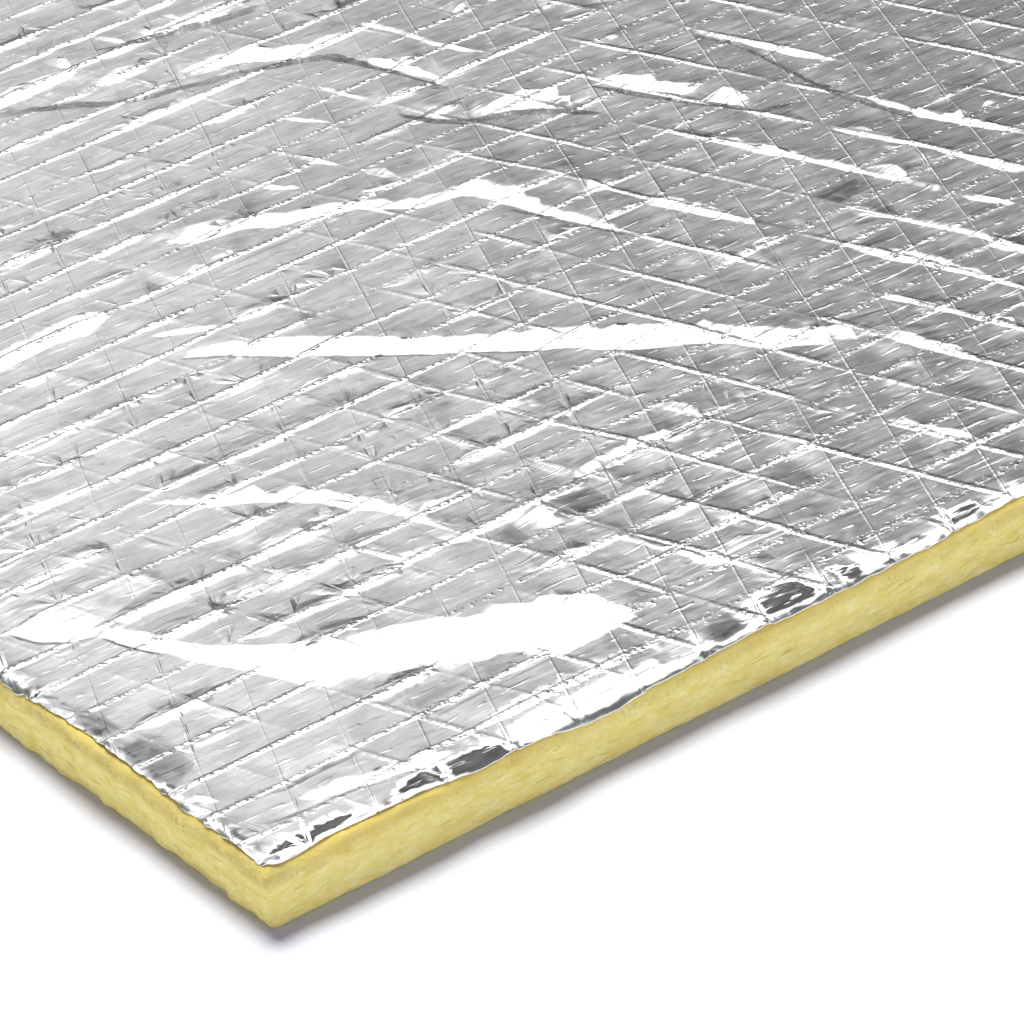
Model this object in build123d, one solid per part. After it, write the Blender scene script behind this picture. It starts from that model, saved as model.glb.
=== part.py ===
from build123d import *
import os

# Heat shield mat: a square of yellow glass wool with a reinforced aluminium
# foil facing laminated to its upper side.
# Millimetres, +Z up. The origin is the centre of the underside.

# --- driving dimensions ---------------------------------------------------
mat_length = 609.6       # along X, the direction the facing was unrolled in
mat_width = 609.6        # along Y
mat_thickness = 12.7     # wool and facing together, at the middle of the mat
facing_thickness = 0.25  # foil, reinforcing yarns and film, laminated
shoulder_radius = 4.0    # the knife presses the wool's upper edge round
corner_radius = 1.5      # the four upright corners, nearly sharp
facing_inset = 1.5       # the facing is cut this far inside the wool's faces
facing_corner = 4.5      # the facing's own rounded corners, seen from above


def slab(grow):
    """The pad's outer form, larger by grow on its sides and its top."""
    form = Box(
        mat_length + 2 * grow,
        mat_width + 2 * grow,
        mat_thickness - facing_thickness + grow,
        align=(Align.CENTER, Align.CENTER, Align.MIN),
    )
    form = fillet(form.edges().filter_by(Axis.Z), corner_radius + grow)
    return fillet(form.faces().sort_by(Axis.Z)[-1].edges(), shoulder_radius + grow)


# --- the wool pad -----------------------------------------------------------
# One slab. Its underside and four cut faces are plain, and its upper edge is
# rounded all the way round.
wool = slab(0)

# --- the facing -------------------------------------------------------------
# A thin skin that lies on the pad and turns down a little over its rounded
# edge. It stops short of the cut faces all the way round.
outline = extrude(
    RectangleRounded(
        mat_length - 2 * facing_inset, mat_width - 2 * facing_inset, facing_corner
    ),
    amount=mat_thickness * 2,
)
facing = (slab(facing_thickness) - wool) & outline

# --- write ------------------------------------------------------------------
os.makedirs("parts", exist_ok=True)
for name, shape in (("glass_wool_pad", wool), ("foil_facing", facing)):
    solids = shape.solids()
    assert len(solids) == 1, (name, len(solids))
    piece = solids[0]
    piece.label = name
    export_step(piece, f"parts/{name}.step")
    box = piece.bounding_box()
    print(name, "volume", round(piece.volume), "min", box.min, "max", box.max)
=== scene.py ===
import math

import bpy
import numpy as np
from mathutils import Matrix, Vector
from mathutils.geometry import delaunay_2d_cdt


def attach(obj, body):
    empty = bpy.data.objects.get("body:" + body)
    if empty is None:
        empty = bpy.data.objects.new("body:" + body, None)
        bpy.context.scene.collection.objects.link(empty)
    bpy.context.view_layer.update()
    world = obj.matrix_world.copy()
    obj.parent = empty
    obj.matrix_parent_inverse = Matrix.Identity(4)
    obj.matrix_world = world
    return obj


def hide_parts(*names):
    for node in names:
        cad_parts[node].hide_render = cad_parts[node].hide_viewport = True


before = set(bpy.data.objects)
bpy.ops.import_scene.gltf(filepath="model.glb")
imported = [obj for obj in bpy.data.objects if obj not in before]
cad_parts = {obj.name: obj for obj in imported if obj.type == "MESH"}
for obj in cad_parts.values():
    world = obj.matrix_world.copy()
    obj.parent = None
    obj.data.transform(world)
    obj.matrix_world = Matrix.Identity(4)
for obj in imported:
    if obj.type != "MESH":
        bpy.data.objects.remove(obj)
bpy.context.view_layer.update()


# ---------------------------------------------------------------------------
# Everything below is worked out in millimetres from the near bottom corner of
# the mat: +X along the right front edge, +Y along the left edge, +Z up.
# ---------------------------------------------------------------------------
SIDE = 609.6          # length of each side
TOP = 12.45           # top of the wool
FOIL = 0.25           # thickness of the facing
CORNER = 1.6          # plan radius of the wool's upright corners
HALF = SIDE / 2


def to_world(x, y, z):
    return np.column_stack([(x - HALF) / 1000, (y - HALF) / 1000, z / 1000])


# --- noise -----------------------------------------------------------------
_lattices = {}


def noise(x, y, sx, sy, seed, turn=0.0):
    """Smooth value noise between -1 and 1, with cells sx by sy, turned by an angle in degrees."""
    if seed not in _lattices:
        _lattices[seed] = np.random.default_rng(seed).uniform(-1, 1, (128, 128))
    g = _lattices[seed]
    c, s = math.cos(math.radians(turn)), math.sin(math.radians(turn))
    u, v = (x * c + y * s) / sx + 31.7, (-x * s + y * c) / sy + 17.3
    i, j = np.floor(u).astype(int), np.floor(v).astype(int)
    a, b = u - i, v - j
    a, b = a * a * a * (a * (a * 6 - 15) + 10), b * b * b * (b * (b * 6 - 15) + 10)
    i0, i1, j0, j1 = i % 128, (i + 1) % 128, j % 128, (j + 1) % 128
    return (g[i0, j0] * (1 - a) + g[i1, j0] * a) * (1 - b) + (g[i0, j1] * (1 - a) + g[i1, j1] * a) * b


def smooth(t):
    t = np.clip(t, 0, 1)
    return t * t * (3 - 2 * t)


# --- the yarn net ------------------------------------------------------------
# Three sets of yarns: A along X, B and C slanting either way from Y.
rng = np.random.default_rng(11)
A_SEEN = [12.3, 24.8, 37.5, 51.1, 63.6, 76.0, 89.5, 101.9, 114.8, 128.3, 140.2, 153.1, 166.1, 179.0, 190.7, 203.9,
          217.0, 230.0, 242.4, 254.9, 267.6, 280.5, 292.9, 305.4, 318.3, 330.7, 343.7]
A_LINES = list(A_SEEN)
while A_LINES[-1] + 12.7 < SIDE - 4:
    A_LINES.append(A_LINES[-1] + 12.71 + rng.uniform(-0.5, 0.5))
A_LINES = np.array([-3.0] + A_LINES + [SIDE + 9.0])
TAN_B, PITCH_B = 0.325, 15.94
TAN_C, PITCH_C = 0.377, 15.90
B_LINES = 13.70 + PITCH_B * np.arange(-2, 53)
B_LINES = B_LINES + rng.uniform(-0.35, 0.35, len(B_LINES))
C_LINES = 12.10 + PITCH_C * np.arange(-18, 42)
C_LINES = C_LINES + rng.uniform(-0.45, 0.45, len(C_LINES))
NORM_B, NORM_C = math.hypot(1, TAN_B), math.hypot(1, TAN_C)

_bow_y = np.arange(-20, 640, 2.0)
_bow = np.interp(_bow_y, [0, 40, 110, 180, 250, 320, 380, 450, 609.6], [-1.0, -0.6, 0.4, 0.3, -0.35, -1.4, -1.9, -1.2, 0.6])
_bow = np.convolve(np.pad(_bow, 12, mode="edge"), np.ones(25) / 25, mode="valid")


def bow(y):
    return np.interp(y, _bow_y, _bow)


def wander(family, x, y):
    if family == "A":
        return 0.35 * noise(x, y, 120, 45, 21) + 0.12 * noise(x, y, 34, 11, 22)
    if family == "B":
        return 0.35 * noise(x, y, 45, 110, 23) + 0.12 * noise(x, y, 12, 36, 24)
    return 0.40 * noise(x, y, 45, 110, 25) + 0.14 * noise(x, y, 12, 36, 26)


def station(family, x, y):
    """Where a point lies across a set of yarns."""
    if family == "A":
        return y + wander("A", x, y)
    slant = TAN_B if family == "B" else -TAN_C
    return x - bow(y) + slant * y + wander(family, x, y)


LINES = {"A": A_LINES, "B": B_LINES, "C": C_LINES}
NORMS = {"A": 1.0, "B": NORM_B, "C": NORM_C}


def phase(family, x, y):
    """A number that is whole on each yarn of a set and runs evenly between them."""
    lines = LINES[family]
    return np.interp(station(family, x, y), lines, np.arange(len(lines), dtype=float))


def off_yarn(family, x, y):
    """Signed distance to the nearest yarn of a set."""
    lines = LINES[family]
    s = station(family, x, y)
    k = np.clip(np.rint(np.interp(s, lines, np.arange(len(lines), dtype=float))), 0, len(lines) - 1).astype(int)
    return (s - lines[k]) / NORMS[family]


YARN_HALF = {"A": 0.62, "B": 0.62, "C": 0.50}
YARN_RISE = {"A": 0.24, "B": 0.22, "C": 0.08}


def yarns(x, y):
    """Rise of the foil over the yarns under it."""
    z = np.zeros_like(x)
    for f in "ABC":
        d = np.abs(off_yarn(f, x, y)) / YARN_HALF[f]
        z = np.maximum(z, YARN_RISE[f] * smooth(1 - d)) + 0.25 * np.minimum(z, YARN_RISE[f] * smooth(1 - d))
    return z


# --- the wool's shoulder -------------------------------------------------------
def edge_place(x, y):
    """(distance from the nearest side, place along it, which side) for points on the mat."""
    d = np.stack([y, SIDE - x, SIDE - y, x])
    side = d.argmin(0)
    along = np.choose(side, [x, y, x, y])
    dist = d.min(0)
    qx, qy = CORNER - np.minimum(x, SIDE - x), CORNER - np.minimum(y, SIDE - y)
    both = (qx > 0) & (qy > 0)
    dist = np.where(both, CORNER - np.hypot(np.maximum(qx, 0), np.maximum(qy, 0)), dist)
    return dist, along, side


def shoulder_radius(along, side):
    """How broad the pressed shoulder is. It swells and narrows along each side."""
    base = np.choose(side, [4.3, 3.6, 4.0, 3.4])
    swing = np.choose(side, [1.5, 0.9, 1.2, 0.8])
    r = base + swing * noise(along, side * 57.0, 15, 9, 31) + 0.5 * noise(along, side * 57.0, 5.5, 9, 32)
    near_corner = smooth(1 - np.minimum(along, SIDE - along) / 14)
    return r * (1 - near_corner) + 4.2 * near_corner


def shoulder_drop(x, y):
    d, along, side = edge_place(x, y)
    r = shoulder_radius(along, side)
    t = np.clip(r - d, 0, r)
    return r - np.sqrt(np.maximum(r * r - t * t, 0.0)), d, along, side


# --- folds -----------------------------------------------------------------------
# Folds of the foil. Each is a strip that climbs from its foot, on the near side, to its crest.
NEAR_SIDE = np.array([-0.515, -0.858])
SEEN = [(-8, -8), (196, -8), (345, 172), (258, 286), (192, 366), (146, 366), (82, 252), (-8, 128)]


def in_polygon(outline, x, y):
    """Even-odd test of many points against one outline."""
    inside = np.zeros(len(x), bool)
    a = np.asarray(outline, float)
    for (x0, y0), (x1, y1) in zip(a, np.roll(a, -1, axis=0)):
        if y0 != y1:
            inside ^= ((y0 > y) != (y1 > y)) & (x < x0 + (y - y0) * (x1 - x0) / (y1 - y0))
    return inside


def nearest(line, q):
    """Distance from points to a line of straight runs, and the place of the nearest point along it, 0 to 1."""
    best, along, start = np.full(len(q), 1e9), np.zeros(len(q)), 0.0
    for a, b in zip(line[:-1], line[1:]):
        s = b - a
        n = max(math.hypot(s[0], s[1]), 1e-9)
        t = np.clip(((q - a) @ s) / (n * n), 0, 1)
        d = np.hypot(q[:, 0] - a[0] - t * s[0], q[:, 1] - a[1] - t * s[1])
        m = d < best
        best[m] = d[m]
        along[m] = start + t[m] * n
        start += n
    return best, along / start


def resample(points, step, jitter=0.0, r=None):
    p = np.array(points, float)
    length = np.concatenate([[0], np.cumsum(np.hypot(*(p[1:] - p[:-1]).T))])
    n = max(2, int(round(length[-1] / step)))
    t = np.linspace(0, length[-1], n + 1)
    q = np.column_stack([np.interp(t, length, p[:, 0]), np.interp(t, length, p[:, 1])])
    if jitter:
        q[1:-1] += r.normal(0, jitter, (n - 1, 2))
    return q


class Fold:
    """One fold: its foot, its crest, how steeply it faces the near side, and how it falls away behind."""

    def __init__(self, foot, crest, slope, tallest=0.8, back=4.0, back_light=0.4, dip=0.0, ends=(0.12, 0.12), fine=True, lit=True):
        self.foot, self.crest, self.fine, self.lit = np.array(foot, float), np.array(crest, float), fine, lit
        self.outline = np.concatenate([self.foot, self.crest[::-1]])
        gap, _ = nearest(self.foot, self.crest)
        u = np.concatenate([[0], np.cumsum(np.hypot(*(self.crest[1:] - self.crest[:-1]).T))])
        self.u = u / u[-1]
        lift = math.tan(math.radians(slope)) * gap * smooth(self.u / ends[0]) * smooth((1 - self.u) / ends[1])
        self.lift, self.far = lift, np.minimum(back * gap + 4.0, 20.0)
        self.scale = min(1.0, tallest / max(abs(lift).max(), 1e-6))
        self.back_light, self.dip, self.soft = back_light, dip, 0.9 if len(foot) > 12 and slope > 0 else 0.4
        reach = max(self.far.max(), 10.0 if dip else 1.0)
        self.low, self.high = self.outline.min(0) - reach, self.outline.max(0) + reach

    def at(self, x, y):
        """Rise of the surface and the rise that its shading follows, at points."""
        rise, light = np.zeros_like(x), np.zeros_like(x)
        m = (x > self.low[0]) & (x < self.high[0]) & (y > self.low[1]) & (y < self.high[1])
        if not m.any():
            return rise, light
        q = np.column_stack([x[m], y[m]])
        to_foot, _ = nearest(self.foot, q)
        to_crest, u = nearest(self.crest, q)
        top, far = np.interp(u, self.u, self.lift), np.interp(u, self.u, self.far)
        inner = in_polygon(self.outline, q[:, 0], q[:, 1])
        v = to_foot / np.maximum(to_foot + to_crest, 1e-6)
        behind = to_crest < to_foot
        back = top * np.clip(1 - to_crest / far, 0, 1) ** 2 * behind
        amount = self.dip * np.clip(top / max(abs(self.lift).max(), 1e-6), 0, 1)
        hollow = -amount * np.where(inner, (1 - v) ** 2, np.clip(1 - to_foot / 9.0, 0, 1) ** 2 * ~behind)
        rise[m] = self.scale * (np.where(inner, top * v, back) + hollow)
        soft_back = np.clip(top, -0.6, 0.6) * np.clip(1 - to_crest / far, 0, 1) ** 2 * behind
        light[m] = np.where(inner, top * v, self.back_light * soft_back + hollow) if self.lit else hollow
        return rise, light


_streaks = [0]


def streak(points, width, slope=11.0, ragged=0.16, step=2.6, **more):
    """A narrow fold along a middle line; width is one number or several, from its start to its end."""
    _streaks[0] += 1
    r = np.random.default_rng(900 + _streaks[0])
    p = resample(points, step)
    t = np.linspace(0, 1, len(p))
    if np.ndim(width):
        w = np.interp(t, np.linspace(0, 1, len(width)), width)
    else:
        w = width * np.sqrt(np.clip(np.minimum(t, 1 - t) * 6 + 0.04, 0, 1))
    way = np.gradient(p, axis=0)
    way = way / np.hypot(way[:, 0], way[:, 1])[:, None]
    side = np.column_stack([way[:, 1], -way[:, 0]])
    if (side @ NEAR_SIDE).mean() < 0:
        side = -side
    foot = p + side * (w / 2 * (1 + 0.4 * ragged * r.normal(size=len(p))))[:, None]
    crest = p - side * (w / 2 * np.clip(1 + 2.0 * ragged * r.normal(size=len(p)), 0.35, 2.0))[:, None]
    more.setdefault("ends", (0.06, 0.06))
    return Fold(foot, crest, slope, **more)


def lip(points, width=1.4, slope=15.0):
    """A sharp crease of the foil, falling away from the near side, so that it looks dark from there."""
    wide = [1.55 * w for w in width] if np.ndim(width) else 1.55 * width
    return streak(points, wide, -slope, ragged=0.12, step=2.6, tallest=0.42, back_light=0.5, ends=(0.03, 0.03))


def seen_folds():
    r = np.random.default_rng(17)
    big = [
        # foot, crest, slope, hollow before the foot
        ([(99, 187), (104, 183), (109, 178), (114, 172), (118, 166), (125, 159), (130, 154), (141, 143), (147, 138), (156, 129), (160, 126),
          (164, 121), (168, 115), (176, 108), (182, 104), (187, 98), (190, 92), (199, 84), (203, 79)],
         [(99, 189), (106, 187), (110, 184), (121, 175), (126, 169.5), (130, 165), (140, 152), (146, 147), (152, 142), (160, 136), (168, 130),
          (172, 125), (178, 119), (184, 113), (190, 108), (193, 102.5), (197, 97), (200, 93), (207, 89)], 12.0, 0.16),
        ([(11, 114), (14, 107), (19.5, 101.5), (24, 99), (26, 92), (30, 83), (32, 76), (35, 71), (39, 62), (44, 50), (46, 44), (48, 38),
          (50, 30), (53, 23)],
         [(12, 116.5), (20, 110), (27, 101), (31, 94), (34, 86), (38, 79), (50, 68), (61, 62), (70, 57), (80, 51), (92, 48), (98, 43),
          (103, 38), (107, 32)], 10.0, 0.16),
        ([(123, 240), (128, 232), (131, 228), (143, 226.5), (148, 221), (166, 214), (170, 209), (176, 203), (186, 200), (190, 190),
          (194, 178), (199, 165), (202, 152)],
         [(125, 241.5), (129, 239), (135, 235), (145, 230.5), (152, 226), (168, 217), (173, 212), (180, 206.5), (192, 204), (196, 192),
          (197.5, 179), (201, 165.5), (203.5, 152)], 11.0, 0.10),
        ([(135, 326), (148, 326), (153, 328), (160, 329), (175, 328), (190, 328), (210, 327.5)],
         [(137, 332.5), (150, 332), (160, 331.3), (175, 331.5), (190, 333), (210, 333)], 10.0, 0.12),
        ([(176, 303), (186, 302), (190, 300), (196, 295), (203, 291), (212, 291), (226, 291.5)],
         [(177, 308), (188, 308.5), (196, 305), (200, 299.5), (206, 295.5), (214, 295), (227, 293)], 11.0, 0.0),
        ([(213, 229), (219, 228), (224, 225.5), (227, 221), (230, 216)],
         [(214, 235), (222, 235), (229, 232), (233, 229), (232, 220)], 10.0, 0.0),
        ([(242, 225), (243, 221), (246, 214), (249, 209), (252, 203)],
         [(243, 226.5), (248, 221), (251, 216), (254, 208), (258, 204)], 11.0, 0.0),
        ([(253, 192), (256, 189.5), (258, 184)], [(254, 195), (261, 196), (261, 188)], 10.0, 0.0),
        ([(255, 138), (257, 131), (258, 126)], [(256.5, 139), (262, 135), (260, 127)], 11.0, 0.0),
        ([(12, 103), (24, 102.5), (34, 105), (45, 108)], [(14, 115), (26, 116), (38, 115), (46, 112)], 6.0, 0.0),
    ]
    made = [Fold(resample(f, 2.8, 0.18, r), resample(c, 2.8, 0.50, r), slope, dip=dip, ends=(0.10, 0.05), lit=k != 1)
            for k, (f, c, slope, dip) in enumerate(big)]
    for points, width, slope in [
        ([(60, 138), (65, 133), (70, 127), (78, 122), (83, 117), (88, 110), (91, 103), (96, 95), (99, 82)], (1.0, 3.5, 5.5, 5.0, 3.0, 1.5), 9),
        ([(100, 200), (110, 193), (115, 191)], 1.8, 11),
        ([(70, 216.5), (84, 216), (100, 216.3)], 5.6, 10), ([(117, 217.5), (137, 217.3)], 3.0, 11), ([(150, 217.5), (178, 217.6), (205, 217.2)], 3.0, 11),
        ([(99, 203.4), (111, 203.2)], 3.0, 11), ([(129, 77.5), (148, 77.6), (175, 76.4)], (2.5, 5.5, 3.0, 1.8, 1.2), 11),
        ([(110, 70), (115, 68), (120, 66)], (4, 8, 5), 10), ([(20, 17), (42, 11), (52, 9)], 3.4, 10),
        ([(159, 317.5), (176, 317.6)], 5.0, 10), ([(150, 317), (159, 317)], 2.0, 11), ([(240, 281.4), (249, 281)], 5.2, 11),
        ([(93, 253.6), (110, 253.5)], 3.8, 10), ([(110, 254), (146, 254.2)], 1.8, 11), ([(200, 254.6), (213, 253.8)], 3.2, 11),
        ([(219, 254), (231, 253.6)], 3.0, 11), ([(232, 254.4), (252, 254)], 1.7, 11), ([(214, 267), (222, 267)], 4.4, 11),
        ([(210, 278), (213, 272), (215, 265), (217, 258), (218, 253)], (1.6, 2.6, 4.6, 2.6, 1.6), 11),
        ([(110, 241), (127, 241.2)], 2.2, 11), ([(206, 241.5), (213, 241.4)], 3.2, 11), ([(125, 304), (152, 304.2)], 2.2, 11),
        ([(141, 292.3), (193, 291.9)], 2.2, 11), ([(276, 219), (279, 212), (281, 205), (283, 198), (287, 188)], 1.9, 12),
        ([(276, 176), (279, 165), (282, 153), (285, 145), (287, 138), (289, 133), (292, 126)], (1.2, 1.8, 3.4, 3.6, 3.0, 2.4, 1.6), 12),
        ([(293, 141.5), (300, 142)], 4.4, 11), ([(268, 129), (270, 131.5), (273, 130)], 4.0, 11), ([(284, 146), (290, 141)], 3.0, 11),
        ([(244, 170), (247, 163), (250, 157), (252, 150), (254, 143), (255.6, 137)], 2.2, 12),
        ([(265, 161), (268, 151), (270, 145), (272, 136), (274, 131), (276, 124), (278, 116), (280, 110)], (2.2, 3.2, 1.8, 1.6, 1.5, 1.6, 3.2, 2.6), 12),
        ([(214, 166), (217, 160), (220, 152), (222, 145), (224, 137)], (2.6, 4.2, 4.0, 2.4, 1.2), 12), ([(200, 166), (214, 166.2)], 2.8, 11),
        ([(242, 181), (243, 178), (246, 168), (250, 158)], 2.2, 12), ([(208, 128.6), (228, 128.9)], 3.0, 11),
        ([(200, 88), (204, 84), (205.5, 79)], (3, 7, 3), 11), ([(212.5, 76), (215, 68), (217, 61), (219, 52)], (2.6, 4.0, 3.0, 1.4), 12),
        ([(230, 69), (234, 57)], 2.8, 12), ([(190, 47), (194, 34), (198, 22)], 3.2, 12), ([(160.5, 89), (163.5, 77)], 3.0, 12),
        ([(178, 230), (181, 219)], 2.6, 11), ([(222, 90), (228, 77), (231, 67)], 1.7, 12),
        ([(232, 113), (235, 104), (239, 95), (243, 82), (246, 70)], (1.5, 4.2, 3.4, 1.7, 1.4), 12),
        ([(247, 119), (250, 108), (254, 95), (257, 84)], 1.7, 12), ([(263, 112), (269, 99)], 2.2, 12), ([(260, 119), (264, 118)], 3.0, 11),
        ([(195, 275), (197, 267), (199, 260)], 1.3, 11), ([(157, 340), (158.5, 335), (159.5, 330)], 3.2, 12), ([(172, 343), (176, 331)], 1.9, 12),
        ([(181, 337), (184, 330)], 2.6, 12), ([(190, 338), (192, 332)], 1.6, 12), ([(160, 338), (165, 338)], 2.6, 11),
        ([(221, 295), (225, 285), (227, 272), (230, 262), (234, 257)], 1.6, 11), ([(147, 343.2), (183, 343)], 2.2, 11), ([(186, 343), (200, 342.4)], 2.4, 11),
        ([(128, 28), (142, 27.6), (157, 25.5)], (6.5, 5.0, 1.6), 8), ([(2, 37), (8, 28)], 1.8, 10),
        ([(128, 231), (149, 230.6)], 5.0, 9), ([(157, 241), (163, 233)], 1.8, 11), ([(166, 246), (168, 240)], 1.8, 11), ([(172, 245), (176, 236)], 1.6, 11),
        ([(180, 267), (183, 262), (187, 256)], 1.3, 11), ([(0, 178), (14, 177.5)], 3, 9), ([(30, 153.6), (58, 153.2)], 3.2, 9),
        ([(150, 191), (200, 191), (213, 191)], (1.2, 1.8, 3.4), 11), ([(207, 180), (217, 178.6)], 4.2, 11), ([(62, 128.4), (96, 128.2)], 2.6, 9),
        ([(66, 103), (88, 101.6)], 4.2, 8), ([(70, 77), (96, 76)], 4.4, 8), ([(52, 90), (70, 89)], 3.8, 8), ([(20, 128.2), (44, 128)], 3.0, 8),
        ([(60, 12.2), (84, 12.6), (100, 13)], 4.0, 9), ([(104, 51), (126, 51.4)], 3.4, 10), ([(134, 38.2), (160, 37.4)], 3.2, 10),
        ([(168, 51), (182, 51.4)], 3.0, 10), ([(150, 64), (166, 63.8)], 3.0, 10), ([(98, 90), (112, 89.6)], 3.0, 9), ([(120, 115), (140, 114.6)], 2.6, 10),
        ([(60, 166), (92, 166.2)], 2.4, 9), ([(40, 179), (70, 179)], 2.2, 9), ([(76, 190.8), (98, 190.6)], 2.4, 9), ([(110, 153.3), (124, 153)], 2.4, 9),
    ]:
        made.append(streak(points, width, slope))
    for points, width in [
        ([(134, 323), (141, 319.5), (148.5, 314.5), (157, 306.5), (164.5, 302.3), (174, 299.4), (190, 294), (200.5, 290), (206.3, 285.7),
          (209.5, 275.5), (213, 263), (216.5, 251)], (1.6, 2.2, 2.6, 2.0, 1.8, 2.4, 2.0, 2.4, 2.2, 1.2, 1.2, 0.9)),
        ([(168, 334), (178.3, 330.3), (194, 326), (210.4, 322.6)], (0.8, 2.2, 2.8, 2.4)), ([(179, 359), (188, 354)], 1.6),
        ([(200, 247), (204.2, 237.5), (209.1, 231), (219.3, 227), (227.6, 219), (232.7, 210)], (0.7, 1.6, 2.2, 2.0, 2.2, 1.0)),
        ([(240, 224), (245, 211), (250, 200), (255.4, 189.5), (259, 180)], (0.9, 1.4, 1.4, 1.4, 0.9)),
        ([(272.6, 226), (277, 213), (276.8, 197.5), (276, 176), (279, 159), (280, 151)], (1.2, 1.3, 1.2, 1.4, 1.8, 1.6)),
        ([(190, 186), (196, 171), (203, 152.5)], (0.9, 1.1, 0.7)),
        ([(11, 113.2), (14, 106.2), (19, 100.8)], 0.9), ([(24, 98), (26, 91), (29.5, 82.5)], 0.7),
        ([(99, 186.4), (104, 182.4), (109, 177.2), (114, 171.2), (118, 165.2)], 0.9), ([(125, 158.3), (130, 153.3), (141, 142.3)], 0.7),
        ([(147, 137.2), (156, 128.2), (160, 125.2)], 0.7), ([(100, 214), (130, 213.9), (160, 213.8)], 0.7), ([(17, 23), (28, 22.7), (38, 22.8)], 1.5),
        ([(52, 22.2), (76, 22), (100, 22.2)], 0.6), ([(10, 14.5), (30, 12), (46, 7)], 0.7), ([(252, 264.7), (259, 265)], 1.2), ([(263, 261), (270, 256)], 1.4),
        ([(133, 278.2), (144, 278)], 0.8), ([(187, 252), (192, 251.4)], 1.4), ([(213, 252.6), (217, 250)], 1.4), ([(304, 178.4), (318, 178)], 0.8),
        ([(302, 154.6), (315, 154.4)], 1.2), ([(264, 130), (267, 131)], 2.4),
    ]:
        made.append(lip(points, width))
    return made


def free_folds(count, seed):
    """Folds over the rest of the facing, most of them along the same diagonal."""
    r = np.random.default_rng(seed)
    made = []
    while len(made) < count:
        x, y = r.uniform(12, SIDE - 12, 2)
        kind = r.uniform()
        long = kind > 0.90
        if kind < 0.25 or long:
            heading = math.radians(-43 + r.normal(0, 11))
        elif kind < 0.66:
            heading = math.radians(r.normal(0, 2))
        else:
            heading = math.radians(-72 + r.normal(0, 3))
        length = r.uniform(60, 130) if long else r.uniform(9, 34)
        if in_polygon(SEEN, np.array([x]), np.array([y]))[0]:
            continue
        n = max(3, int(length / 9))
        pts = [(x, y)]
        for _ in range(n):
            heading += r.normal(0, 0.10 if long else 0.03)
            px, py = pts[-1]
            pts.append((px + math.cos(heading) * length / n, py + math.sin(heading) * length / n))
        p = np.array(pts)
        if (p.min() < 10) or (p.max() > SIDE - 10) or in_polygon(SEEN, p[:, 0], p[:, 1]).any():
            continue
        width = r.uniform(5, 11) if long else r.uniform(1.6, 4.2)
        made.append(streak(pts, width, r.uniform(8, 12), step=4.0, fine=long))
        if long and r.uniform() < 0.6:
            made.append(lip([(a - 0.6 - 0.26 * width, b - 0.4 - 0.42 * width) for a, b in pts[: n // 2 + 2]], 1.2))
    return made


FOLDS = seen_folds() + free_folds(210, 41)


def fold_rise(x, y):
    rise, light = np.zeros_like(x), np.zeros_like(x)
    for f in FOLDS:
        a, b = f.at(x, y)
        rise += a
        light += b
    return rise, light


# --- surfaces ------------------------------------------------------------------
def undulation(x, y):
    """Slow waves of the soft mat and the loose lie of the foil between the yarns."""
    z = 0.50 * noise(x, y, 95, 75, 51, 20) + 0.22 * noise(x, y, 38, 30, 52, -35)
    z = z + 0.095 * noise(x, y, 24, 9.5, 53, 4) + 0.022 * noise(x, y, 13, 5.0, 54, -6)
    return z


def wool_surface(x, y):
    """Top of the wool with its shoulder, without creases."""
    drop, d, along, side = shoulder_drop(x, y)
    inner = smooth((d - 1.0) / 14)
    return TOP - drop + 0.9 * inner * (0.50 * noise(x, y, 95, 75, 51, 20) + 0.22 * noise(x, y, 38, 30, 52, -35))


def foil_surface(x, y):
    """Top of the foil without the yarns, and the height that its shading follows."""
    drop, d, along, side = shoulder_drop(x, y)
    inner = smooth((d - 1.0) / 14)
    rise, light = fold_rise(x, y)
    keep = smooth((d - 0.6) / 5)
    rim = smooth(1 - d / 8.0)
    crumple = np.abs(noise(along, d + side * 37, 3.6, 2.6, 61, 12)) + 0.5 * np.abs(noise(along, d + side * 37, 1.8, 1.5, 62, -20))
    rim = rim * np.where(side == 3, 1.5, 1.0)
    z = TOP + FOIL - drop + inner * undulation(x, y) + rim * (0.34 * crumple + 0.16 * noise(along, d + side * 37, 9, 5, 63))
    return z + keep * rise, z + keep * light


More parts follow.
